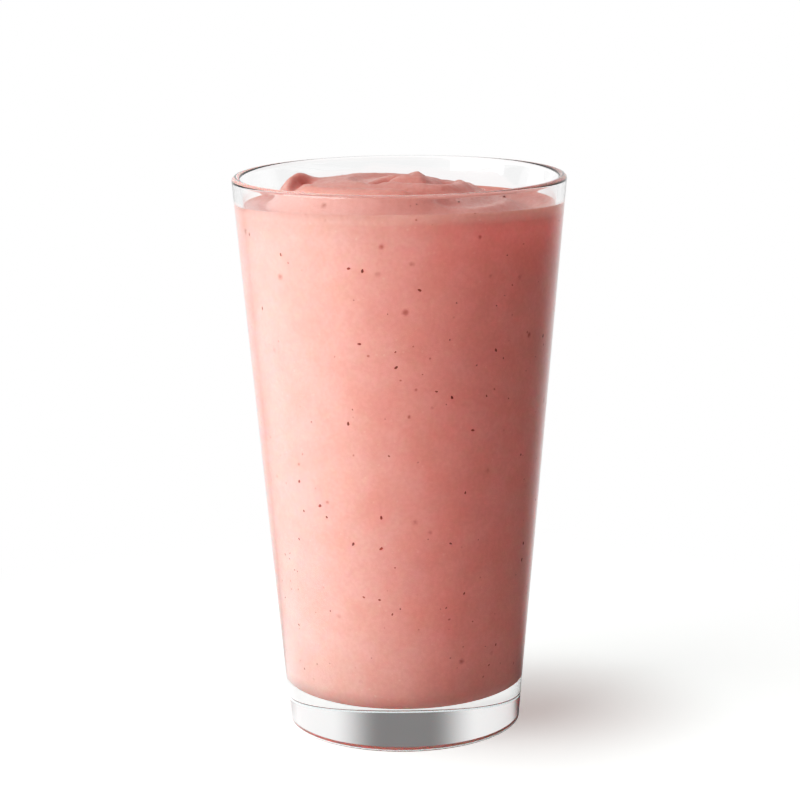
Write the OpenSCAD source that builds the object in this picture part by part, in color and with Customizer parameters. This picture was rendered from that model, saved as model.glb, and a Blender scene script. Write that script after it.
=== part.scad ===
// A strawberry smoothie in a heavy tapered bar glass.
// Millimetres, +Z up. The origin is the centre of the ring that the glass stands on.
// The front of the drink, where its edge stands highest, faces -Y.

/* [Glass] */
// Height of the glass
glass_h = 150; // [120:1:180]
// Outer diameter at the rim
rim_d = 89; // [74:1:107]
// Outer diameter at the foot, before its corner is rounded
foot_d = 63; // [54:1:72]
// Thickness of the wall at the rim
rim_wall = 2.2; // [1.8:0.1:3]
// Thickness of the wall where it meets the inside floor
foot_wall = 3.2; // [2.6:0.1:5]
// Height of the inside floor over the ring that the glass stands on
floor_t = 11; // [8:0.5:20]
// Radius of the corner between the inside floor and the wall
well_r = 6; // [3:0.5:12]
// Radius of the rounded edge under the wall
heel_r = 0.5; // [0.5:0.1:3]
// Width of the flat ring that the glass stands on
ring_w = 3; // [2.5:0.5:8]
// Depth of the flat hollow under the foot
punt_h = 0.4; // [0.3:0.1:4]
// Width of the slope round that hollow
punt_side = 1.5; // [1:0.5:12]

/* [Drink] */
// Depth of the drink's edge below the rim, at the back
edge_drop = 7.8; // [6:0.1:20]
// How much higher the edge stands at the front
front_lift = 2.8; // [0:0.1:4]
// Depth of the shallow channel just inside the edge, where it is deepest
channel_d = 2; // [0:0.1:2.2]
// How far the bottom of the channel lies from the glass
channel_in = 7; // [4:0.5:10]
// Where the channel is deepest, in degrees round from +X
channel_way = -45; // [-180:5:180]

/* [Crown] */
// Height of the crown over the drink's edge at the back
crown_h = 5.5; // [2:0.1:6]
// Radius of the crown at its foot
crown_r = 31; // [22:0.5:34]
// Width of the slope round the crown
shoulder_w = 8; // [5:0.5:16]
// Unevenness of the crown's outline, as a share of its radius
crown_wave = 0.04; // [0:0.01:0.08]
// Place of the crown's centre, across and from front to back
crown_at = [-4, 2]; // [-6:0.5:6]
// How far the crown's top falls away to its low side
crown_fall = 1.6; // [0:0.1:3]
// Where its low side is, in degrees round from +X
fall_way = 25; // [-180:5:180]

/* [Swirl] */
// Place of the swirl's centre, across and from front to back
swirl_at = [4.5, 6]; // [-8:0.1:8]
// Distance from one fold of the swirl to the next
fold_pitch = 13; // [9:0.5:18]
// Height of a fold over the groove beside it
fold_h = 2.2; // [0.5:0.1:3]
// How far the folds lean to +X, as a share of the pitch
fold_lean = 0.24; // [0:0.01:0.35]
// How much the folds flatten towards the back, as a share of their height
fold_calm = 0.55; // [0:0.05:1]
// Unevenness of the folds' spacing, as a share of the pitch
fold_wander = 0.08; // [0:0.01:0.12]
// Turn of the swirl about its centre, as a share of one pitch
fold_turn = 0.92; // [0:0.01:1]
// Place of the peak, across and from front to back
peak_at = [5, 6]; // [-8:0.1:8]
// Height of the peak over the top under it
peak_h = 3; // [0:0.1:4]
// Reach of the peak
peak_r = 5; // [2:0.1:7]
// How much steeper the peak is on its +X side than on the other
peak_lean = 2; // [1:0.1:3]
// Place of the broad lobe on the crown's -X side, across and from front to back
lobe_at = [-28, 9]; // [-30:0.5:30]
// Height of that lobe
lobe_h = 1.5; // [0:0.1:2]
// Reach of that lobe
lobe_r = 7; // [4:0.5:12]
// Place of the small lobe beside the peak, across and from front to back
bump_at = [14.5, 6]; // [-30:0.5:30]
// Height of the small lobe
bump_h = 0.8; // [0:0.1:2]
// Reach of the small lobe
bump_r = 4; // [2:0.5:8]

/* [Creases] */
// Depth of the creases between the lobes of the crown
crease_d = 2.2; // [0:0.1:2.5]
// Half of a crease's width
crease_w = 2; // [1:0.1:3]
// How far a crease bows out round the swirl, as a share of its length
crease_bow = 0.15; // [0:0.01:0.3]
// Ends of the crease down the crown's -X shoulder
shoulder_crease = [-26, -12, -21, 12]; // [-32:0.5:32]
// Ends of the crease beside the peak
peak_crease = [-7, -10, 2, 9]; // [-32:0.5:32]
// Ends of the crease between the peak and the low lobe beside it
lobe_crease = [8, -6, 10, 19]; // [-32:0.5:32]
// Ends of the long shallow crease over the crown's front
front_crease = [-16, -12, 14, -11]; // [-32:0.5:32]
// Ends of the crease below it
low_crease = [-4, -17, 18, -16]; // [-32:0.5:32]
// Depth of those two, as a share of the others'
front_share = 0.5; // [0:0.05:1]

/* [Hidden] */

$fn = 96;
ARC_STEPS = 8;    // straight cuts in each rounded corner of the glass
RINGS = 28;       // rings of points over the drink's top
SECTORS = 96;     // points round each ring
edge_inset = 0.1; // keeps the many-sided crown inside the round wall
shelf_drop = 2.2; // the round body of the drink ends this far under its lowest edge
crown_root = 2;   // how deep the crown is rooted in the round body

edge_z = glass_h - edge_drop;
shelf_z = edge_z - shelf_drop;
outer_slope = (rim_d - foot_d) / 2 / glass_h;
inner_slope = outer_slope - (rim_wall - foot_wall) / (glass_h - floor_t);
outer_lean = atan(outer_slope);
inner_lean = atan(inner_slope);

// Runs smoothly from 0 at a to 1 at b
function ease(a, b, v) =
    let (t = max(0, min(1, (v - a) / (b - a)))) t * t * (3 - 2 * t);

// Radius of the outside and of the inside of the wall at height z
function outer_r(z) = foot_d / 2 + outer_slope * z;
function inner_r(z) = outer_r(floor_t) - foot_wall + inner_slope * (z - floor_t);

// Points of an arc of radius r about centre c, from angle a to angle b
function arc(c, r, a, b) = [
    for (i = [0 : ARC_STEPS])
        c + r * [cos(a + (b - a) * i / ARC_STEPS), sin(a + (b - a) * i / ARC_STEPS)]
];

// Outline of the hollow from the middle of its floor up to the height top
function hollow(top) = concat(
    [[0, floor_t]],
    arc([inner_r(floor_t + well_r) - well_r / cos(inner_lean), floor_t + well_r],
        well_r, -90, -inner_lean),
    [[inner_r(top), top]]
);

heel_x = outer_r(heel_r) - heel_r / cos(outer_lean);
ring_in = heel_x - ring_w;
rim_z = glass_h - rim_wall / 2;

// Flat hollow under the foot, from its middle out over its slope to the ring
function punt() = concat(
    [[0, punt_h]],
    [for (i = [0 : ARC_STEPS])
        [ring_in - punt_side * (1 - i / ARC_STEPS), punt_h * (1 - ease(0, ARC_STEPS, i))]]
);

// Round lip, from the outside of the wall over to the inside
function lip() =
    let (c = [(outer_r(rim_z) + inner_r(rim_z)) / 2, rim_z],
         r = (outer_r(rim_z) - inner_r(rim_z)) / 2)
    concat(arc(c, r, -outer_lean, 90), arc(c, r, 90 + 90 / ARC_STEPS, 180 - inner_lean));

function reversed(list) = [for (i = [len(list) - 1 : -1 : 0]) list[i]];

module glass() {
    color([0.90, 0.94, 0.93, 0.35])
        rotate_extrude()
            polygon(concat(
                punt(),
                arc([heel_x, heel_r], heel_r, -90, -outer_lean),
                lip(),
                reversed(hollow(rim_z - rim_wall))
            ));
}

// Height of the drink's edge against the glass, at angle a seen from above
function edge_at(a) = edge_z + front_lift * pow((1 - sin(a)) / 2, 2);

// The crown's own rise, which is full inside its sloping shoulder
function crown(p) =
    let (q = p - crown_at,
         a = atan2(q[1], q[0]),
         r = crown_r * (1 + crown_wave * (sin(2 * a + 29) + 0.75 * sin(3 * a - 57))),
         fall = crown_fall * ease(-0.3 * crown_r, crown_r, q * [cos(fall_way), sin(fall_way)]))
    (crown_h - fall) * ease(r, r - shoulder_w, norm(q));

// One long fold wound about the swirl's centre, which leans over to +X
function fold(p) =
    let (q = p - swirl_at,
         a = atan2(q[1], q[0]),
         wander = fold_wander * (sin(3 * a + 40) + 0.6 * sin(5 * a - 69)) * ease(1, 8, norm(q)),
         turn = norm(q) / fold_pitch + a / 360 + wander - fold_turn,
         f = turn - floor(turn),
         drop = 0.5 - fold_lean * cos(a) * min(1, norm(q) / 4),
         h = f < drop ? ease(drop, 0, f) : ease(drop, 1, f))
    fold_h * (h - 0.5) * ease(1, 7, norm(q)) * (1 - fold_calm * ease(-10, 14, p[1]));

function peak(p) =
    let (q = p - peak_at,
         steep = sqrt(peak_lean) * (q[0] > 0 ? 1 : 1 / peak_lean))
    peak_h * exp(-pow(norm([q[0] * steep, q[1] / sqrt(peak_lean)]) / peak_r, 1.4));

function lobe(p, place, height, reach) = height * exp(-pow(norm(p - place) / reach, 2));

// A groove between two ends, bowed outward round the swirl and fading out at both ends
function groove(p, ends) =
    let (start = [ends[0], ends[1]],
         way = [ends[2], ends[3]] - start,
         side = [-way[1], way[0]],
         out = (start + way / 2 - swirl_at) * side < 0 ? -1 : 1,
         t = max(0, min(1, (p - start) * way / (way * way))),
         middle = start + t * way + out * crease_bow * 4 * t * (1 - t) * side)
    crease_d * ease(0, 0.35, t) * ease(1, 0.65, t) * exp(-pow(norm(p - middle) / crease_w, 2));

function creases(p) =
    groove(p, shoulder_crease) + groove(p, peak_crease) + groove(p, lobe_crease)
        + front_share * (groove(p, front_crease) + groove(p, low_crease));

function channel(a, gap) =
    channel_d * (0.6 + 0.4 * cos(a - channel_way))
        * exp(-pow((gap - channel_in) / (channel_in / 2), 2));

// Radius of the drink's top at angle a
function top_r(a) = inner_r(edge_at(a)) - edge_inset;

// The point of the drink's top at the share s of the way from the middle to the glass
function top_at(s, a) =
    let (r = s * top_r(a),
         p = r * [cos(a), sin(a)],
         near = ease(0.7, 1, s),
         edge = edge_at(a) * near + edge_z * (1 - near) - channel(a, top_r(a) - r))
    [p[0], p[1], edge + crown(p) + peak(p) - creases(p) + fold(p) * (1 - ease(0.6, 0.98, s))
        + (lobe(p, lobe_at, lobe_h, lobe_r) + lobe(p, bump_at, bump_h, bump_r)) * (1 - ease(0.8, 0.98, s))];

// The top of the drink, rooted in its round body
module swirled_top() {
    ring = [for (j = [0 : SECTORS - 1]) 360 * j / SECTORS];
    root_z = shelf_z - crown_root;
    root_r = inner_r(root_z) - edge_inset;
    points = concat(
        [top_at(0, 0)],
        [for (i = [1 : RINGS]) for (a = ring) top_at(i / RINGS, a)],
        [for (a = ring) [root_r * cos(a), root_r * sin(a), root_z]]
    );
    function at(i, j) = 1 + (i - 1) * SECTORS + j % SECTORS;
    faces = concat(
        [for (j = [0 : SECTORS - 1]) [0, at(1, j + 1), at(1, j)]],
        [for (i = [1 : RINGS]) for (j = [0 : SECTORS - 1]) each
            [[at(i, j), at(i, j + 1), at(i + 1, j + 1)],
             [at(i, j), at(i + 1, j + 1), at(i + 1, j)]]],
        [[for (j = [0 : SECTORS - 1]) at(RINGS + 1, j)]]
    );
    polyhedron(points, faces);
}

module smoothie() {
    color([0.90, 0.58, 0.53]) {
        rotate_extrude()
            polygon(concat(hollow(shelf_z), [[0, shelf_z]]));
        swirled_top();
    }
}

glass();
smoothie();
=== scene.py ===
"""Looks and studio for a glass of strawberry smoothie: clear tapered glass, swirled thick drink.

Shapes are worked out in millimetres from the sizes below and built in metres.
"""
import math
import random

import bpy
import numpy as np
from mathutils import Matrix, Vector, noise


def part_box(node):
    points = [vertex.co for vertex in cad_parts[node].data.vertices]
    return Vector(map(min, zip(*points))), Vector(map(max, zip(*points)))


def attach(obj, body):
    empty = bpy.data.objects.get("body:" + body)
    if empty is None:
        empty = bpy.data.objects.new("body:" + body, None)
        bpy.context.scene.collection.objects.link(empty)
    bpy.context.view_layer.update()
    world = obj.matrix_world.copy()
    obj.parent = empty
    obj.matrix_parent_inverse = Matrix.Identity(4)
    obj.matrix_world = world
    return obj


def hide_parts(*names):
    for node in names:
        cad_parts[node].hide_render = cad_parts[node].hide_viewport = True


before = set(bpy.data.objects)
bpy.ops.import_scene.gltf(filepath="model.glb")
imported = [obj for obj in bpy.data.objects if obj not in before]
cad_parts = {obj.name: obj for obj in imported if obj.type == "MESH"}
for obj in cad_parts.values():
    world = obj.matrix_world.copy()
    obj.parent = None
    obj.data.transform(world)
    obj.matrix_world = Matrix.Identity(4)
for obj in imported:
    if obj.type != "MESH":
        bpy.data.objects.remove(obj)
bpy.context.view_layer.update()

MM = 0.001
BODY = "root"

# ---------------------------------------------------------------- sizes of the glass (mm)
glass_low, glass_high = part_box("glass")
GLASS_H = round((glass_high[2] - glass_low[2]) / MM, 1)
RIM_D = 89.0
FOOT_D = 63.0
RIM_WALL = 2.2
FOOT_WALL = 3.2
FLOOR_T = 11.0
WELL_R = 6.0
HEEL_R = 0.5
RING_W = 3.0
PUNT_H = 0.4
PUNT_SIDE = 1.5
TURN_STEPS = 256        # facets round the glass

# ---------------------------------------------------------------- sizes of the drink (mm, degrees, shares)
EDGE_DROP = 7.8
FRONT_LIFT = 2.8
CHANNEL_D = 2.0
CHANNEL_IN = 7.0
CHANNEL_WAY = -45.0
CROWN_H = 5.5
CROWN_R = 31.0
SHOULDER_W = 8.0
CROWN_WAVE = 0.04
CROWN_AT = (-4.0, 2.0)
CROWN_FALL = 1.6
FALL_WAY = 25.0
SWIRL_AT = (4.5, 6.0)
FOLD_PITCH = 13.0
FOLD_H = 2.2
FOLD_LEAN = 0.24
FOLD_CALM = 0.55
FOLD_WANDER = 0.08
FOLD_TURN = 0.92
PEAK_AT = (5.0, 6.0)
PEAK_H = 3.0
PEAK_R = 5.0
PEAK_LEAN = 2.0
LOBES = (               # place, height and reach of each broad lobe
    ((-28.0, 9.0), 1.5, 7.0),
    ((14.5, 6.0), 0.8, 4.0),
)
CREASE_D = 2.2
CREASE_W = 2.0
CREASE_BOW = 0.15
FRONT_SHARE = 0.5
CREASES = (             # ends of each crease, and its depth as a share of CREASE_D
    ((-26.0, -12.0), (-21.0, 12.0), 1.0),
    ((-7.0, -10.0), (2.0, 9.0), 1.0),
    ((8.0, -6.0), (10.0, 19.0), 1.0),
    ((-16.0, -12.0), (14.0, -11.0), FRONT_SHARE),
    ((-4.0, -17.0), (18.0, -16.0), FRONT_SHARE),
)
INTO_WALL = 0.15        # the drink reaches this far into the glass, so no air shows between them
MENISCUS_H = 0.6        # how far the drink creeps up the glass
MENISCUS_W = 0.9
CORNER_REACH = 7.0      # how far from its corners the drink's colour is deepened as painted shade
LUMP_H = 0.16           # height of the soft lumps on the open top
GRAIN_H = 0.05          # height of the fine pulp on it

TOP_RINGS = 170         # rings of points over the open top
WALL_RINGS = 40
SKIN_STEPS = 384        # points round each ring of the drink

# ---------------------------------------------------------------- flecks (mm)
SEED = 20
WALL_FLECKS = 250
TOP_FLECKS = 16
WALL_FLECK_SIZES = (0.18, 0.2, 0.25, 0.3, 0.4, 0.55)    # half of a fleck's length
TOP_FLECK_SIZES = (0.18, 0.25, 0.4)
PIP_RINGS, PIP_SIDES = 5, 8

# ---------------------------------------------------------------- colours of the drink
PINK_PALE, PINK_DEEP = (0.885, 0.59, 0.545, 1), (0.855, 0.54, 0.485, 1)
PULP_DEEP = (0.955, 0.93, 0.92, 1)
# painted shade, deepening the drink's colour near its corners
CORNER_PAINTED_SHADE = (1.0, 0.84, 0.82, 1)
OPEN_TINT = (0.98, 0.82, 0.80, 1)
# painted shade, darkening the drink down the creases of its top
CREASE_PAINTED_SHADE = (0.80, 0.53, 0.49, 1)
FROTH = (0.95, 0.74, 0.68, 1)
SUNK_FLECK = (0.42, 0.10, 0.06, 1)
FINE_FLECK = (0.40, 0.09, 0.05, 1)
SEED_PALE, SEED_DARK = (0.42, 0.12, 0.07, 1), (0.2, 0.045, 0.028, 1)

# ---------------------------------------------------------------- how light meets the glass and the drink
GLASS_IOR, DRINK_IOR = 1.52, 1.36
GLASS_TINT, GLASS_SHADE = (0.99, 0.99, 0.99, 1), (0.96, 0.96, 0.96, 1)
SPREAD, SPREAD_SCALE = (1.0, 0.065, 0.04), 0.05     # how far red, green and blue go inside the drink
DEEP_WALL, DEEP_OPEN = 1.0, 0.15        # share of the light that goes inside at the wall and the open top
ROUGH_WALL = 0.9
ROUGH_TOP = (0.42, 0.28)                # range over the pulp of the open top

# ---------------------------------------------------------------- studio (metres)
WHITE = (1, 1, 1, 1)
LIGHTS_AIM = (0, 0, 0.08)
KEY_SIZE, KEY_POWER, KEY_TURN, KEY_RISE = 1.1, 12.8, 62, 19
OVERHEAD_POWER, OVERHEAD_SPREAD = 1.0, 80
TONE = ((0.12, 0.08), (0.3, 0.25), (0.6, 0.6))      # brightness before and after the picture's finish
THROWN = WHITE                          # colour of the floor for the light it throws on the drink
FILL = (0.17, 0.055, 0.04, 1)           # light that comes to the drink and the floor from all round
FLOOR_HALF = 6.0
FLOOR_PALE = (0.89, 0.93, 0.93, 1)      # this and the next even out the tint of FILL on the floor
FLOOR_GLOW = (0.84, 1, 1, 1)
FLOOR_FADE = (0.07, 0.2)                # how far out the floor starts and ends its turn to white
PAINTED_SHADOW_AT, PAINTED_SHADOW_REACH = (0.034, 0.0, 0.0), 0.065    # soft shadow, partly painted: here the floor glows least
GLOW_LEAST, GLOW_MOST = 0.2, 0.58
EYE_AT, EYE_PITCH, EYE_ROLL = (-0.0004, -0.684, 0.2338), 11.97, -0.6
EYE_LENS, EYE_SENSOR = 116.6, 36


# ---------------------------------------------------------------- shape of the glass
OUTER_SLOPE = (RIM_D - FOOT_D) / 2 / GLASS_H
INNER_SLOPE = OUTER_SLOPE - (RIM_WALL - FOOT_WALL) / (GLASS_H - FLOOR_T)


def outer_r(z):
    return FOOT_D / 2 + OUTER_SLOPE * z


def inner_r(z):
    return outer_r(FLOOR_T) - FOOT_WALL + INNER_SLOPE * (z - FLOOR_T)


def arc(centre, r, start, end, steps=20):
    """Points of an arc, with angles in degrees."""
    angles = [math.radians(start + (end - start) * i / steps) for i in range(steps + 1)]
    return [(centre[0] + r * math.cos(a), centre[1] + r * math.sin(a)) for a in angles]


def line(a, b, steps):
    """Points between a and b, which are left out; they crowd towards both ends."""
    shares = [(1 - math.cos(math.pi * i / steps)) / 2 for i in range(1, steps)]
    return [(a[0] + (b[0] - a[0]) * s, a[1] + (b[1] - a[1]) * s) for s in shares]


def well_corner(reach=0.0):
    """The corner between the inside floor and the wall, moved out into the glass by reach."""
    lean = math.degrees(math.atan(INNER_SLOPE))
    centre = (inner_r(FLOOR_T + WELL_R) - WELL_R / math.cos(math.radians(lean)), FLOOR_T + WELL_R)
    return arc(centre, WELL_R + reach, -90, -lean)


def glass_outline():
    lean_out = math.degrees(math.atan(OUTER_SLOPE))
    lean_in = math.degrees(math.atan(INNER_SLOPE))
    heel_x = outer_r(HEEL_R) - HEEL_R / math.cos(math.radians(lean_out))
    ring_in = heel_x - RING_W
    lip_z = GLASS_H - RIM_WALL / 2
    lip_r = (outer_r(lip_z) - inner_r(lip_z)) / 2
    lip = arc(((outer_r(lip_z) + inner_r(lip_z)) / 2, lip_z), lip_r, -lean_out, 180 - lean_in, 28)
    flat_r = ring_in - PUNT_SIDE
    slope = [(flat_r + PUNT_SIDE * i / 16, PUNT_H * (1 - float(ease(0, 16, i)))) for i in range(17)]
    punt = [(0.0, PUNT_H)] + line((0.0, PUNT_H), slope[0], 10) + slope
    heel = arc((heel_x, HEEL_R), HEEL_R, -90, -lean_out)
    well = well_corner()
    floor_mid = (0.0, FLOOR_T)
    return (punt + line(punt[-1], heel[0], 5) + heel + line(heel[-1], lip[0], 28) + lip
            + line(lip[-1], well[-1], 28) + well[::-1] + line(well[0], floor_mid, 10) + [floor_mid])


# ---------------------------------------------------------------- shape of the drink's top
def ease(a, b, v):
    """Runs smoothly from 0 at a to 1 at b."""
    t = np.clip((v - a) / (b - a), 0, 1)
    return t * t * (3 - 2 * t)


def edge_at(turn):
    """Height of the drink's edge against the glass at an angle in radians."""
    return GLASS_H - EDGE_DROP + FRONT_LIFT * ((1 - np.sin(turn)) / 2) ** 2


def crown(x, y):
    dx, dy = x - CROWN_AT[0], y - CROWN_AT[1]
    a = np.arctan2(dy, dx)
    wave = np.sin(2 * a + math.radians(29)) + 0.75 * np.sin(3 * a - math.radians(57))
    r = CROWN_R * (1 + CROWN_WAVE * wave)
    way = math.radians(FALL_WAY)
    fall = CROWN_FALL * ease(-0.3 * CROWN_R, CROWN_R, dx * math.cos(way) + dy * math.sin(way))
    return (CROWN_H - fall) * ease(r, r - SHOULDER_W, np.hypot(dx, dy))


def fold(x, y):
    """One long fold wound about the swirl's centre, which leans over to +X."""
    dx, dy = x - SWIRL_AT[0], y - SWIRL_AT[1]
    a, r = np.arctan2(dy, dx), np.hypot(dx, dy)
    wander = np.sin(3 * a + math.radians(40)) + 0.6 * np.sin(5 * a - math.radians(69))
    turn = r / FOLD_PITCH + a / math.tau + FOLD_WANDER * wander * ease(1, 8, r) - FOLD_TURN
    f = turn - np.floor(turn)
    drop = 0.5 - FOLD_LEAN * np.cos(a) * np.minimum(1, r / 4)
    h = np.where(f < drop, ease(0, 1, 1 - f / drop), ease(0, 1, (f - drop) / (1 - drop)))
    return FOLD_H * (h - 0.5) * ease(1, 7, r) * (1 - FOLD_CALM * ease(-10, 14, y))


def peak(x, y):
    dx, dy = x - PEAK_AT[0], y - PEAK_AT[1]
    steep = math.sqrt(PEAK_LEAN) * np.where(dx > 0, 1, 1 / PEAK_LEAN)
    return PEAK_H * np.exp(-(np.hypot(dx * steep, dy / math.sqrt(PEAK_LEAN)) / PEAK_R) ** 1.4)


def lobes(x, y):
    return sum(high * np.exp(-((x - ax) ** 2 + (y - ay) ** 2) / reach ** 2)
               for (ax, ay), high, reach in LOBES)


def creases(x, y):
    """Depth of the grooves in the crown, bowed outward round the swirl and fading out at their ends."""
    depth = 0.0
    for (ax, ay), (bx, by), part in CREASES:
        wx, wy = bx - ax, by - ay
        t = np.clip(((x - ax) * wx + (y - ay) * wy) / (wx * wx + wy * wy), 0, 1)
        out = (SWIRL_AT[1] - ay - wy / 2) * wx - (SWIRL_AT[0] - ax - wx / 2) * wy
        bow = (-1 if out > 0 else 1) * CREASE_BOW * 4 * t * (1 - t)
        apart = np.hypot(x - ax - t * wx + bow * wy, y - ay - t * wy - bow * wx)
        fade = ease(0, 0.35, t) * ease(1, 0.65, t)
        depth = depth + CREASE_D * part * fade * np.exp(-(apart / CREASE_W) ** 2)
    return depth


def top_at(share, turn):
    """x, y and z of the drink's top at a share of the way from the middle to the glass."""
    reach = inner_r(edge_at(turn))
    r = share * reach
    gap = reach - r
    x, y = r * np.cos(turn), r * np.sin(turn)
    near = ease(0.7, 1, share)
    way = math.radians(CHANNEL_WAY)
    channel = CHANNEL_D * (0.6 + 0.4 * np.cos(turn - way))
    channel = channel * np.exp(-((gap - CHANNEL_IN) / (CHANNEL_IN / 2)) ** 2)
    creep = MENISCUS_H * (1 - np.exp(-gap / MENISCUS_W)) * (1 - ease(0, CHANNEL_IN, gap))
    edge = edge_at(turn) * near + (GLASS_H - EDGE_DROP) * (1 - near)
    swirl = fold(x, y) * (1 - ease(0.6, 0.98, share)) + lobes(x, y) * (1 - ease(0.8, 0.98, share))
    return x, y, edge - channel - creep + crown(x, y) + peak(x, y) - creases(x, y) + swirl


def relief(x, y, share):
    """Soft lumps and fine pulp on the open top, fading out at the glass."""
    lump = noise.noise(Vector((x, y, 0)) * 0.3) + 0.5 * noise.noise(Vector((x, y, 9)) * 0.75)
    grain = noise.noise(Vector((x, y, 20)) * 2.1) + 0.6 * noise.noise(Vector((x, y, 31)) * 4.3)
    return (LUMP_H * (lump - 0.4) + GRAIN_H * grain) * float(ease(1, 0.93, share))


# ---------------------------------------------------------------- mesh making
def new_piece(name, verts, faces, material):
    """Makes a mesh piece from points in millimetres, riding on the glass's body."""
    mesh = bpy.data.meshes.new(name)
    mesh.from_pydata([(x * MM, y * MM, z * MM) for x, y, z in verts], [], faces)
    mesh.validate()
    mesh.update()
    mesh.polygons.foreach_set("use_smooth", [True] * len(mesh.polygons))
    mesh.materials.append(material)
    piece = bpy.data.objects.new(name, mesh)
    bpy.context.scene.collection.objects.link(piece)
    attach(piece, BODY)
    return piece


def ring_faces(first, second, count):
    """Quads between two rings of count points, whose first points have these indices."""
    return [(first + j, first + (j + 1) % count, second + (j + 1) % count, second + j)
            for j in range(count)]


def skin_faces(last, count):
    """Closed skin over rings of count points, between point 0 and the point numbered last."""
    rings = list(range(1, last, count))
    faces = [(0, rings[0] + (j + 1) % count, rings[0] + j) for j in range(count)]
    for low, high in zip(rings, rings[1:]):
        faces += ring_faces(low, high, count)
    return faces + [(rings[-1] + j, rings[-1] + (j + 1) % count, last) for j in range(count)]


def ring(r, z, turns):
    return [(r * math.cos(a), r * math.sin(a), z) for a in turns]


def lathe(outline, count):
    """Turns an outline that starts and ends on the axis; it runs up the outside."""
    turns = [math.tau * j / count for j in range(count)]
    verts = [(0.0, 0.0, outline[0][1])]
    for r, z in outline[1:-1]:
        verts += ring(r, z, turns)
    verts.append((0.0, 0.0, outline[-1][1]))
    return verts, skin_faces(len(verts) - 1, count)


def drink_mesh():
    """Floor, wall and swirled top of the drink as one closed skin.

    Also gives how open to the air each point is, how near it lies to a corner of the drink, and how
    far down a crease; the last two darken the drink's colour as painted shade.
    """
    wall = well_corner(INTO_WALL)
    floor = line((0.0, FLOOR_T - INTO_WALL), wall[0], 8)
    verts = [(0.0, 0.0, FLOOR_T - INTO_WALL)]
    # corner and crease go into the drink's colour as painted shade; corner also keeps light from going deep
    air, corner, crease = [0.0], [0.0], []
    turns = [math.tau * j / SKIN_STEPS for j in range(SKIN_STEPS)]
    for r, z in floor + wall:
        verts += ring(r, z, turns)
        corner += [0.5 * float(ease(wall[0][0] - CORNER_REACH, wall[0][0], r))] * SKIN_STEPS
    foot_z = wall[-1][1]
    for i in range(1, WALL_RINGS + 1):
        for a in turns:
            z = foot_z + (float(edge_at(a)) - foot_z) * i / WALL_RINGS
            r = inner_r(z) + INTO_WALL
            verts.append((r * math.cos(a), r * math.sin(a), z))
            low = 0.5 * ease(foot_z + CORNER_REACH, foot_z, z)
            corner.append(float(low + ease(-CORNER_REACH, 0, z - edge_at(a))))
    air += [0.0] * (len(verts) - 1)
    for share in [1 - 0.995 * (i / TOP_RINGS) for i in range(TOP_RINGS + 1)]:
        x, y, z = top_at(share, np.array(turns))
        for px, py, pz in zip(x, y, z):
            verts.append((float(px), float(py), float(pz) + relief(px, py, share)))
        air += [float(ease(1, 0.98, share))] * SKIN_STEPS
        corner += [float(ease(CORNER_REACH, 0, (1 - share) * inner_r(GLASS_H)))] * SKIN_STEPS
        # how far down a crease, for the painted shade there
        crease += [float(depth) for depth in creases(x, y) / CREASE_D]
    x, y, z = top_at(0.0, 0.0)
    verts.append((float(x), float(y), float(z) + relief(float(x), float(y), 0.0)))
    air.append(1.0)
    corner.append(0.0)
    last = len(verts) - 1
    crease = [0.0] * (last - len(crease)) + crease + [0.0]
    return verts, skin_faces(last, SKIN_STEPS), {"open_air": air, "near_corner": corner, "crease_painted_shade": crease}


# ---------------------------------------------------------------- node helpers
def new_group(name, inputs, outputs):
    """A shader node group; inputs are (name, kind, value) and outputs are (name, kind)."""
    group = bpy.data.node_groups.new(name, "ShaderNodeTree")
    for label, kind, value in inputs:
        socket = group.interface.new_socket(name=label, in_out="INPUT", socket_type=kind)
        if value is not None:
            socket.default_value = value
    for label, kind in outputs:
        group.interface.new_socket(name=label, in_out="OUTPUT", socket_type=kind)
    return group, group.nodes.new("NodeGroupInput"), group.nodes.new("NodeGroupOutput")


def math_node(tree, operation, a, b=None):
    node = tree.nodes.new("ShaderNodeMath")
    node.operation = operation
    for socket, value in zip(node.inputs, (a, b)):
        put(tree, value, socket)
    return node.outputs[0]


def put(tree, value, socket):
    """Links an output to a socket, or sets the socket to a plain value."""
    if value is None:
        return
    if isinstance(value, bpy.types.NodeSocket):
        tree.links.new(value, socket)
    else:
        socket.default_value = value


def map_range(tree, value, low, high, to_low, to_high):
    """Runs smoothly from to_low at low to to_high at high."""
    node = tree.nodes.new("ShaderNodeMapRange")
    node.interpolation_type = "SMOOTHSTEP"
    for socket, v in zip(node.inputs, (value, low, high, to_low, to_high)):
        put(tree, v, socket)
    return node.outputs[0]


def mix_colour(tree, factor, a, b, blend="MIX"):
    node = tree.nodes.new("ShaderNodeMix")
    node.data_type = "RGBA"
    node.blend_type = blend
    put(tree, factor, node.inputs[0])
    put(tree, a, node.inputs[6])
    put(tree, b, node.inputs[7])
    return node.outputs[2]


def noise_node(tree, vector, scale, detail=3.0, roughness=0.5, distortion=0.0):
    node = tree.nodes.new("ShaderNodeTexNoise")
    put(tree, vector, node.inputs["Vector"])
    put(tree, scale, node.inputs["Scale"])
    node.inputs["Detail"].default_value = detail
    node.inputs["Roughness"].default_value = roughness
    node.inputs["Distortion"].default_value = distortion
    return node.outputs["Fac"]


def place(tree, group, **values):
    """Puts a node group into a tree and sets or links its inputs by name."""
    node = tree.nodes.new("ShaderNodeGroup")
    node.node_tree = group
    for label, value in values.items():
        put(tree, value, node.inputs[label])
    return node


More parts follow.
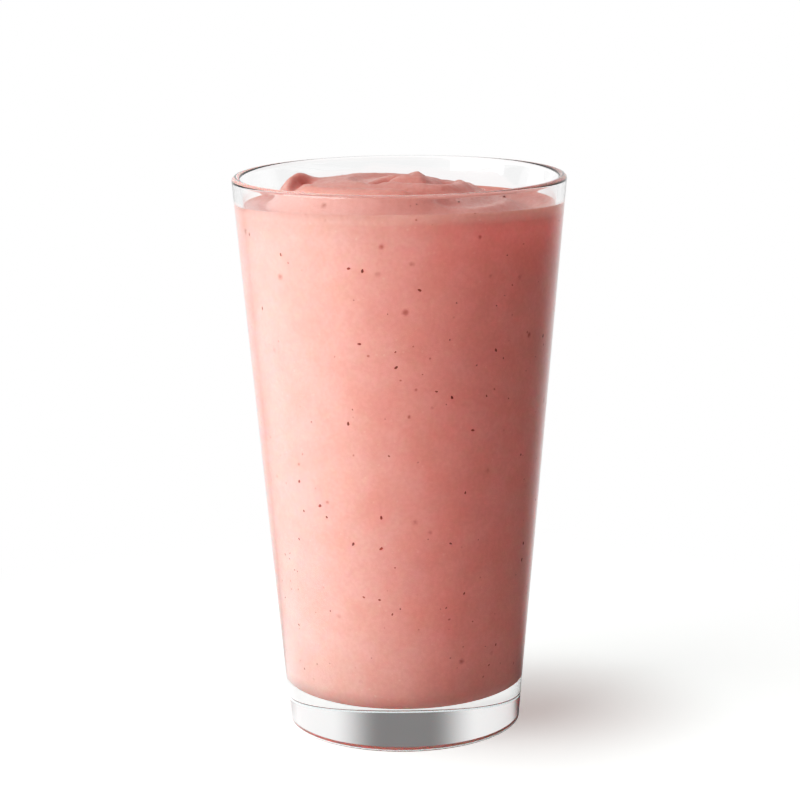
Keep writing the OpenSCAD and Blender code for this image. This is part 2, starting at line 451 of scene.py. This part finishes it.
# ---------------------------------------------------------------- shared effects
def millimetre_group():
    """Place on the object in millimetres, nudged so that copies of a pattern differ."""
    group, given, out = new_group("place_in_mm", [("Nudge", "NodeSocketFloat", 0.0)],
                                  [("Place", "NodeSocketVector")])
    coord = group.nodes.new("ShaderNodeTexCoord")
    scale = group.nodes.new("ShaderNodeVectorMath")
    scale.operation = "SCALE"
    scale.inputs["Scale"].default_value = 1 / MM
    group.links.new(coord.outputs["Object"], scale.inputs[0])
    move = group.nodes.new("ShaderNodeVectorMath")
    move.operation = "ADD"
    group.links.new(scale.outputs[0], move.inputs[0])
    group.links.new(given.outputs["Nudge"], move.inputs[1])
    group.links.new(move.outputs[0], out.inputs["Place"])
    return group


def spots_group():
    """Scattered round spots with soft edges: a mask that is 1 in a spot."""
    group, given, out = new_group(
        "soft_spots",
        [("Place", "NodeSocketVector", None), ("Spacing", "NodeSocketFloat", 5.0),
         ("Size", "NodeSocketFloat", 0.8), ("Softness", "NodeSocketFloat", 0.5),
         ("Share", "NodeSocketFloat", 0.4)],
        [("Mask", "NodeSocketFloat")])
    sock = given.outputs
    wobble = group.nodes.new("ShaderNodeTexNoise")
    wobble.inputs["Scale"].default_value = 1.1
    group.links.new(sock["Place"], wobble.inputs["Vector"])
    bend = group.nodes.new("ShaderNodeVectorMath")
    bend.operation = "MULTIPLY_ADD"
    group.links.new(wobble.outputs["Color"], bend.inputs[0])
    bend.inputs[1].default_value = (0.7, 0.7, 0.7)
    group.links.new(sock["Place"], bend.inputs[2])
    cells = group.nodes.new("ShaderNodeTexVoronoi")
    group.links.new(bend.outputs[0], cells.inputs["Vector"])
    group.links.new(math_node(group, "DIVIDE", 1.0, sock["Spacing"]), cells.inputs["Scale"])
    away = math_node(group, "MULTIPLY", cells.outputs["Distance"], sock["Spacing"])
    tint = group.nodes.new("ShaderNodeSeparateColor")
    group.links.new(cells.outputs["Color"], tint.inputs[0])
    radius = math_node(group, "MULTIPLY", sock["Size"], math_node(group, "ADD", tint.outputs["Green"], 0.35))
    inner = math_node(group, "MULTIPLY", radius, math_node(group, "SUBTRACT", 1.0, sock["Softness"]))
    spot = map_range(group, away, inner, radius, 1.0, 0.0)
    chosen = math_node(group, "LESS_THAN", tint.outputs["Red"], sock["Share"])
    group.links.new(math_node(group, "MULTIPLY", spot, chosen), out.inputs["Mask"])
    return group


def mottle_group():
    """Cloudy change from one colour to another over the surface."""
    group, given, out = new_group(
        "mottle",
        [("Place", "NodeSocketVector", None), ("Scale", "NodeSocketFloat", 0.2),
         ("Light", "NodeSocketColor", (1, 1, 1, 1)), ("Dark", "NodeSocketColor", (0, 0, 0, 1))],
        [("Colour", "NodeSocketColor"), ("Value", "NodeSocketFloat")])
    sock = given.outputs
    cloud = noise_node(group, sock["Place"], sock["Scale"], detail=4.0, roughness=0.55, distortion=0.3)
    value = map_range(group, cloud, 0.32, 0.68, 0.0, 1.0)
    group.links.new(mix_colour(group, value, sock["Dark"], sock["Light"]), out.inputs["Colour"])
    group.links.new(value, out.inputs["Value"])
    return group


def surround_group():
    """Brightness round the glass by direction: what shows through it, and what its outside mirrors.

    Through it shows a grey backdrop between two bright panels, in a dim room. It mirrors a soft white
    panel on the left and the bright panels at its edges.
    """
    group, given, out = new_group("surround", [("Way", "NodeSocketVector", None)],
                                  [("Through", "NodeSocketFloat"), ("Mirrored", "NodeSocketFloat")])
    split = group.nodes.new("ShaderNodeSeparateXYZ")
    group.links.new(given.outputs["Way"], split.inputs[0])
    turn = math_node(group, "ARCTAN2", split.outputs["X"], split.outputs["Y"])
    side = math_node(group, "ABSOLUTE", turn)
    panel = map_range(group, side, math.radians(8), math.radians(30), 0.28, 0.95)
    room = map_range(group, side, math.radians(60), math.radians(85), 1.0, 0.06)
    put(group, math_node(group, "MULTIPLY", panel, room), out.inputs["Through"])
    edge = map_range(group, side, math.radians(25), math.radians(70), 0.9, 0.08)
    left = map_range(group, turn, math.radians(-20), math.radians(-80), 0.0, 1.8)
    front = map_range(group, turn, math.radians(-100), math.radians(-180), 1.0, 0.0)
    left_panel = math_node(group, "MULTIPLY", left, front)
    put(group, math_node(group, "MAXIMUM", edge, left_panel), out.inputs["Mirrored"])
    return group


PLACE = millimetre_group()
SURROUND = surround_group()
SPOTS = spots_group()
MOTTLE = mottle_group()


# ---------------------------------------------------------------- materials
def new_material(name):
    material = bpy.data.materials.new(name)
    material.use_nodes = True
    tree = material.node_tree
    return material, tree, tree.nodes["Principled BSDF"], tree.nodes["Material Output"]


def mix_shaders(tree, share, first, second):
    mix = tree.nodes.new("ShaderNodeMixShader")
    put(tree, share, mix.inputs[0])
    tree.links.new(first.outputs[0], mix.inputs[1])
    tree.links.new(second.outputs[0], mix.inputs[2])
    return mix


def clear_glass():
    """Clear glass with faint waves and smears, which lets light through to what stands behind it."""
    material, tree, shader, out = new_material("clear_glass")
    where = place(tree, PLACE, Nudge=3.0).outputs[0]
    shader.inputs["Base Color"].default_value = GLASS_TINT
    shader.inputs["Transmission Weight"].default_value = 1.0
    shader.inputs["IOR"].default_value = GLASS_IOR
    shader.inputs["Metallic"].default_value = 0.0
    smear = place(tree, MOTTLE, Place=where, Scale=0.05).outputs["Value"]
    put(tree, map_range(tree, smear, 0.0, 1.0, 0.0, 0.015), shader.inputs["Roughness"])
    bump = tree.nodes.new("ShaderNodeBump")
    bump.inputs["Strength"].default_value = 0.04
    bump.inputs["Distance"].default_value = 0.2 * MM
    put(tree, noise_node(tree, where, 0.045, detail=1.0), bump.inputs["Height"])
    put(tree, bump.outputs[0], shader.inputs["Normal"])
    rays = tree.nodes.new("ShaderNodeLightPath")
    clear = tree.nodes.new("ShaderNodeBsdfTransparent")
    clear.inputs[0].default_value = GLASS_SHADE
    mix = mix_shaders(tree, rays.outputs["Is Shadow Ray"], shader, clear)
    tree.links.new(mix.outputs[0], out.inputs["Surface"])
    return material


def measure(tree, name):
    """A value kept at each point of the piece."""
    node = tree.nodes.new("ShaderNodeAttribute")
    node.attribute_name = name
    return node.outputs["Fac"]


def spots(tree, colour, where, tone, strength, **pattern):
    """Adds soft spots of one tone to a colour; gives the new colour and the spots' mask."""
    mask = place(tree, SPOTS, Place=where, **pattern).outputs[0]
    return mix_colour(tree, math_node(tree, "MULTIPLY", mask, strength), colour, tone), mask


def drink_colour(tree, where, other, open_air, near_corner):
    """Mottled pink with froth, sunk flecks and painted shade; gives the colour and the masks of pulp and
    froth.
    """
    base = place(tree, MOTTLE, Place=where, Scale=0.11, Light=PINK_PALE, Dark=PINK_DEEP)
    pulp = place(tree, MOTTLE, Place=other, Scale=0.9, Light=WHITE, Dark=PULP_DEEP)
    colour = mix_colour(tree, 1.0, base.outputs["Colour"], pulp.outputs["Colour"], "MULTIPLY")
    # painted shade: the colour darkens near the corners and down the creases
    for mask, tint in ((near_corner, CORNER_PAINTED_SHADE), (open_air, OPEN_TINT),
                       (measure(tree, "crease_painted_shade"), CREASE_PAINTED_SHADE)):
        colour = mix_colour(tree, mask, colour, tint, "MULTIPLY")
    colour, froth = spots(tree, colour, other, FROTH, 0.35, Spacing=1.6, Size=0.32, Softness=0.6, Share=0.3)
    colour, _ = spots(tree, colour, where, SUNK_FLECK, 0.65, Spacing=6.5, Size=1.0, Softness=0.95, Share=0.6)
    colour, _ = spots(tree, colour, other, FINE_FLECK, 0.6, Spacing=4.0, Size=0.38, Softness=0.7, Share=0.35)
    return colour, pulp.outputs["Value"], froth


def open_grain(tree, where, froth, open_air):
    """Fine relief of the open top; the wall lies smooth against the glass."""
    bump = tree.nodes.new("ShaderNodeBump")
    bump.inputs["Distance"].default_value = 0.12 * MM
    bump.inputs["Strength"].default_value = 0.5
    grain = noise_node(tree, where, 2.6, detail=4.0)
    height = math_node(tree, "ADD", grain, math_node(tree, "MULTIPLY", froth, 0.5))
    put(tree, math_node(tree, "MULTIPLY", height, open_air), bump.inputs["Height"])
    return bump.outputs[0]


def smoothie_skin():
    """Thick pink drink: light goes deep into its wall, but little into its open top and its corners."""
    material, tree, shader, _ = new_material("smoothie")
    where = place(tree, PLACE, Nudge=0.0).outputs[0]
    other = place(tree, PLACE, Nudge=57.0).outputs[0]
    open_air, near_corner = measure(tree, "open_air"), measure(tree, "near_corner")
    colour, pulp, froth = drink_colour(tree, where, other, open_air, near_corner)
    put(tree, colour, shader.inputs["Base Color"])
    shallow = math_node(tree, "MAXIMUM", open_air, near_corner)
    deep = map_range(tree, shallow, 0.0, 1.0, DEEP_WALL, DEEP_OPEN)
    put(tree, deep, shader.inputs["Subsurface Weight"])
    shader.inputs["Subsurface Radius"].default_value = SPREAD
    shader.inputs["Subsurface Scale"].default_value = SPREAD_SCALE
    shader.inputs["IOR"].default_value = DRINK_IOR
    wet = map_range(tree, pulp, 0.0, 1.0, *ROUGH_TOP)
    sheen = tree.nodes.new("ShaderNodeMix")
    put(tree, open_air, sheen.inputs[0])
    put(tree, ROUGH_WALL, sheen.inputs[2])
    put(tree, wet, sheen.inputs[3])
    put(tree, sheen.outputs[0], shader.inputs["Roughness"])
    put(tree, open_grain(tree, where, froth, open_air), shader.inputs["Normal"])
    return material


def fleck_skin():
    material, tree, shader, _ = new_material("seed_fleck")
    where = place(tree, PLACE, Nudge=11.0).outputs[0]
    tone = place(tree, MOTTLE, Place=where, Scale=0.7, Light=SEED_PALE, Dark=SEED_DARK)
    put(tree, tone.outputs["Colour"], shader.inputs["Base Color"])
    put(tree, map_range(tree, tone.outputs["Value"], 0.0, 1.0, 0.35, 0.6), shader.inputs["Roughness"])
    return material


# ---------------------------------------------------------------- pieces
def make_glass():
    verts, faces = lathe(glass_outline(), TURN_STEPS)
    piece = new_piece("glass_body", verts, faces, clear_glass())
    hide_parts("glass")
    return piece


def make_smoothie():
    verts, faces, measures = drink_mesh()
    piece = new_piece("smoothie_fill", verts, faces, smoothie_skin())
    for name, values in measures.items():
        piece.data.attributes.new(name, "FLOAT", "POINT").data.foreach_set("value", values)
    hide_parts("smoothie")
    return piece


def fleck_points(centre, way, size, rng):
    """A small uneven pip: long along one direction, thinner at one end."""
    spin = Vector((rng.uniform(-1, 1), rng.uniform(-1, 1), rng.uniform(-1, 1))).normalized()
    side = way.cross(spin).normalized()
    long = side.cross(way).normalized()
    points = []
    for i in range(PIP_RINGS + 1):
        t = math.pi * i / PIP_RINGS
        for j in range(PIP_SIDES):
            a = math.tau * j / PIP_SIDES
            w = math.sin(t) * (1 - 0.25 * math.cos(t)) * (1 + 0.12 * rng.uniform(-1, 1))
            points.append(centre + size * (long * math.cos(t) + side * 0.62 * w * math.cos(a)
                                           + way * 0.4 * w * math.sin(a)))
    return points


def make_flecks():
    """Dark seeds and skin flecks against the glass and on the top."""
    rng = random.Random(SEED)
    verts, faces = [], []

    def add(centre, way, size):
        first = len(verts)
        verts.extend(fleck_points(centre, way, size, rng))
        end = first + PIP_RINGS * PIP_SIDES
        for low in range(first, end, PIP_SIDES):
            faces.extend(ring_faces(low + PIP_SIDES, low, PIP_SIDES))
        faces.append(tuple(range(first, first + PIP_SIDES)))
        faces.append(tuple(range(end + PIP_SIDES - 1, end - 1, -1)))

    for _ in range(WALL_FLECKS):
        a, z = rng.uniform(0, math.tau), rng.uniform(18, 139)
        r = inner_r(z) + INTO_WALL
        way = Vector((math.cos(a), math.sin(a), -INNER_SLOPE)).normalized()
        size = rng.choice(WALL_FLECK_SIZES)
        add(Vector((math.cos(a) * r, math.sin(a) * r, z)) - way * size * rng.uniform(0.05, 0.2), way, size)
    for _ in range(TOP_FLECKS):
        a, share = rng.uniform(0, math.tau), math.sqrt(rng.uniform(0.02, 0.9))
        x, y, z = top_at(share, a)
        size = rng.choice(TOP_FLECK_SIZES)
        add(Vector((float(x), float(y), float(z))), Vector((0, 0, 1)), size)
    return new_piece("seed_flecks", [tuple(v) for v in verts], faces, fleck_skin())


# ---------------------------------------------------------------- studio
def floor_near(tree, here):
    """Pale floor round the glass; its soft shadow is partly real and partly painted where it glows least."""
    near = tree.nodes.new("ShaderNodeBsdfPrincipled")
    near.inputs["Base Color"].default_value = FLOOR_PALE
    near.inputs["Specular IOR Level"].default_value = 0.0
    near.inputs["Emission Color"].default_value = FLOOR_GLOW
    apart = tree.nodes.new("ShaderNodeVectorMath")
    apart.operation = "DISTANCE"
    apart.inputs[1].default_value = PAINTED_SHADOW_AT
    tree.links.new(here, apart.inputs[0])
    # painted shadow: the floor glows least near the right of the glass's foot
    glow = map_range(tree, apart.outputs["Value"], 0.0, PAINTED_SHADOW_REACH, GLOW_LEAST, GLOW_MOST)
    put(tree, glow, near.inputs["Emission Strength"])
    return near


def floor_skin():
    """Runs out into plain white; mirrored in the glass it is as bright as the surround."""
    material = bpy.data.materials.new("studio_white")
    material.use_nodes = True
    tree = material.node_tree
    tree.nodes.remove(tree.nodes["Principled BSDF"])
    here = tree.nodes.new("ShaderNodeTexCoord").outputs["Object"]
    length = tree.nodes.new("ShaderNodeVectorMath")
    length.operation = "LENGTH"
    tree.links.new(here, length.inputs[0])
    far = tree.nodes.new("ShaderNodeEmission")
    far.inputs["Color"].default_value = WHITE
    out_there = map_range(tree, length.outputs["Value"], *FLOOR_FADE, 0.0, 1.0)
    look = mix_shaders(tree, out_there, floor_near(tree, here), far)
    mirrored = tree.nodes.new("ShaderNodeEmission")
    put(tree, place(tree, SURROUND, Way=here).outputs["Mirrored"], mirrored.inputs["Color"])
    thrown = tree.nodes.new("ShaderNodeBsdfDiffuse")
    thrown.inputs["Color"].default_value = THROWN
    rays = tree.nodes.new("ShaderNodeLightPath")
    look = mix_shaders(tree, rays.outputs["Is Reflection Ray"], look, mirrored)
    look = mix_shaders(tree, math_node(tree, "MINIMUM", rays.outputs["Diffuse Depth"], 1.0), look, thrown)
    tree.links.new(look.outputs[0], tree.nodes["Material Output"].inputs["Surface"])
    material.cycles.emission_sampling = "NONE"
    return material


def make_floor():
    mesh = bpy.data.meshes.new("studio_floor")
    corners = [(x * FLOOR_HALF, y * FLOOR_HALF, 0) for x, y in ((-1, -1), (1, -1), (1, 1), (-1, 1))]
    mesh.from_pydata(corners, [], [(0, 1, 2, 3)])
    mesh.materials.append(floor_skin())
    floor = bpy.data.objects.new("studio_floor", mesh)
    bpy.context.scene.collection.objects.link(floor)


def towards(azimuth, elevation):
    """Direction from the glass; azimuth is measured from the front, round to the left."""
    a, e = math.radians(azimuth), math.radians(elevation)
    return Vector((-math.sin(a) * math.cos(e), -math.cos(a) * math.cos(e), math.sin(e)))


def make_light(name, kind, way, distance, strength):
    light = bpy.data.lights.new(name, kind)
    light.energy = strength
    lamp = bpy.data.objects.new(name, light)
    lamp.location = Vector(LIGHTS_AIM) + distance * way
    lamp.rotation_euler = (-way).to_track_quat("-Z", "Y").to_euler()
    bpy.context.scene.collection.objects.link(lamp)
    return lamp


def make_world():
    """White to the eye; the glass shows its own surroundings, and the drink gets the fill light."""
    world = bpy.data.worlds.new("studio")
    bpy.context.scene.world = world
    world.use_nodes = True
    tree = world.node_tree
    coord = tree.nodes.new("ShaderNodeTexCoord")
    around = place(tree, SURROUND, Way=coord.outputs["Generated"])
    rays = tree.nodes.new("ShaderNodeLightPath")
    light = around.outputs["Through"]
    for switch, other in ((rays.outputs["Is Reflection Ray"], around.outputs["Mirrored"]),
                          (math_node(tree, "MINIMUM", rays.outputs["Diffuse Depth"], 1.0), FILL),
                          (rays.outputs["Is Camera Ray"], WHITE)):
        light = mix_colour(tree, switch, light, other)
    put(tree, light, tree.nodes["Background"].inputs["Color"])
    world.cycles.sampling_method = "NONE"


def make_camera():
    camera = bpy.data.cameras.new("camera")
    camera.lens = EYE_LENS
    camera.sensor_width = EYE_SENSOR
    eye = bpy.data.objects.new("camera", camera)
    bpy.context.scene.collection.objects.link(eye)
    pitch, roll = math.radians(EYE_PITCH), math.radians(EYE_ROLL)
    turn = Matrix.Rotation(math.pi / 2 - pitch, 4, "X") @ Matrix.Rotation(roll, 4, "Z")
    eye.matrix_world = Matrix.Translation(EYE_AT) @ turn
    bpy.context.scene.camera = eye


def make_finish():
    """A plain view whose darks are deepened a little, as in a finished studio picture."""
    view = bpy.context.scene.view_settings
    view.view_transform = "Standard"
    view.use_curve_mapping = True
    for before, after in TONE:
        view.curve_mapping.curves[3].points.new(before, after)
    view.curve_mapping.update()


def make_studio():
    make_floor()
    key = make_light("key", "AREA", towards(KEY_TURN, KEY_RISE), 1.3, KEY_POWER)
    key.data.size = KEY_SIZE
    overhead = make_light("overhead", "SUN", towards(0, 89.9), 1.8, OVERHEAD_POWER)
    overhead.data.angle = math.radians(OVERHEAD_SPREAD)
    make_world()
    make_camera()
    make_finish()


make_glass()
make_smoothie()
make_flecks()
make_studio()
